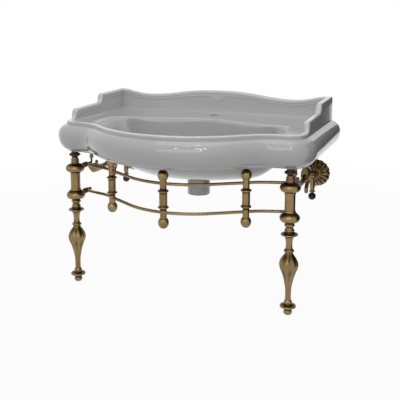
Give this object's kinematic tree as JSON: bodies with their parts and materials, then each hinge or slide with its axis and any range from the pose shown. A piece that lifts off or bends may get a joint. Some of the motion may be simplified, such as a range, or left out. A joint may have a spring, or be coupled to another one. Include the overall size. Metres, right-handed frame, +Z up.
{
  "type": "console wash basin with legs",
  "caption": "Wide glazed wash basin with a rolled serpentine rim and stepped upstand, on turned brass legs with bowed rails and wall brackets.",
  "frame": {"origin": "on the floor, under the middle of the bounding box", "axes": "+Z up, +Y from the front towards the wall, +X to the right as seen from the front"},
  "size_m": [0.8998, 0.6199, 0.649],
  "materials": {
    "glaze": "gloss",
    "brass": "antique satin",
    "rod": "machined",
    "dark_ball": "dark bronzed",
    "pad": "matt"
  },
  "bodies": {
    "frame": {"basin": "glaze", "left_bracket_arm": "brass", "left_bracket_knob": "brass", "left_bracket_leaf": "brass", "left_bracket_pendant": "brass", "left_bracket_ring": "brass", "left_bracket_scroll": "brass", "left_bracket_strut": "brass", "left_leg_baluster": "brass", "left_leg_collar": "brass", "left_leg_column": "brass", "left_leg_foot": "brass", "left_leg_lower_bulb": "brass", "left_leg_neck": "brass", "left_leg_pad": "pad", "left_leg_rod": "rod", "left_leg_shaft": "brass", "left_leg_upper_bulb": "brass", "left_pendant_ball": "dark_ball", "left_post": "brass", "left_post_bottom_ball": "brass", "left_post_top_ball": "brass", "left_wall_rosette": "brass", "lower_rail": "brass", "middle_post": "brass", "middle_post_bottom_ball": "brass", "middle_post_top_ball": "brass", "rail_end_bosses": "brass", "rail_end_studs": "brass", "right_bracket_arm": "brass", "right_bracket_knob": "brass", "right_bracket_leaf": "brass", "right_bracket_pendant": "brass", "right_bracket_ring": "brass", "right_bracket_scroll": "brass", "right_bracket_strut": "brass", "right_leg_baluster": "brass", "right_leg_collar": "brass", "right_leg_column": "brass", "right_leg_foot": "brass", "right_leg_lower_bulb": "brass", "right_leg_neck": "brass", "right_leg_pad": "pad", "right_leg_rod": "rod", "right_leg_shaft": "brass", "right_leg_upper_bulb": "brass", "right_pendant_ball": "dark_ball", "right_post": "brass", "right_post_bottom_ball": "brass", "right_post_top_ball": "brass", "right_wall_rosette": "brass", "upper_rail": "brass"},
    "left_glide": {"left_glide": "brass"},
    "right_glide": {"right_glide": "brass"}
  },
  "joints": [
    {"name": "left_levelling", "type": "slide", "parent": "frame", "child": "left_glide", "axis": [0, 0, -1], "range_m": [0, 0.008]},
    {"name": "right_levelling", "type": "slide", "parent": "frame", "child": "right_glide", "axis": [0, 0, -1], "range_m": [0, 0.008]}
  ]
}
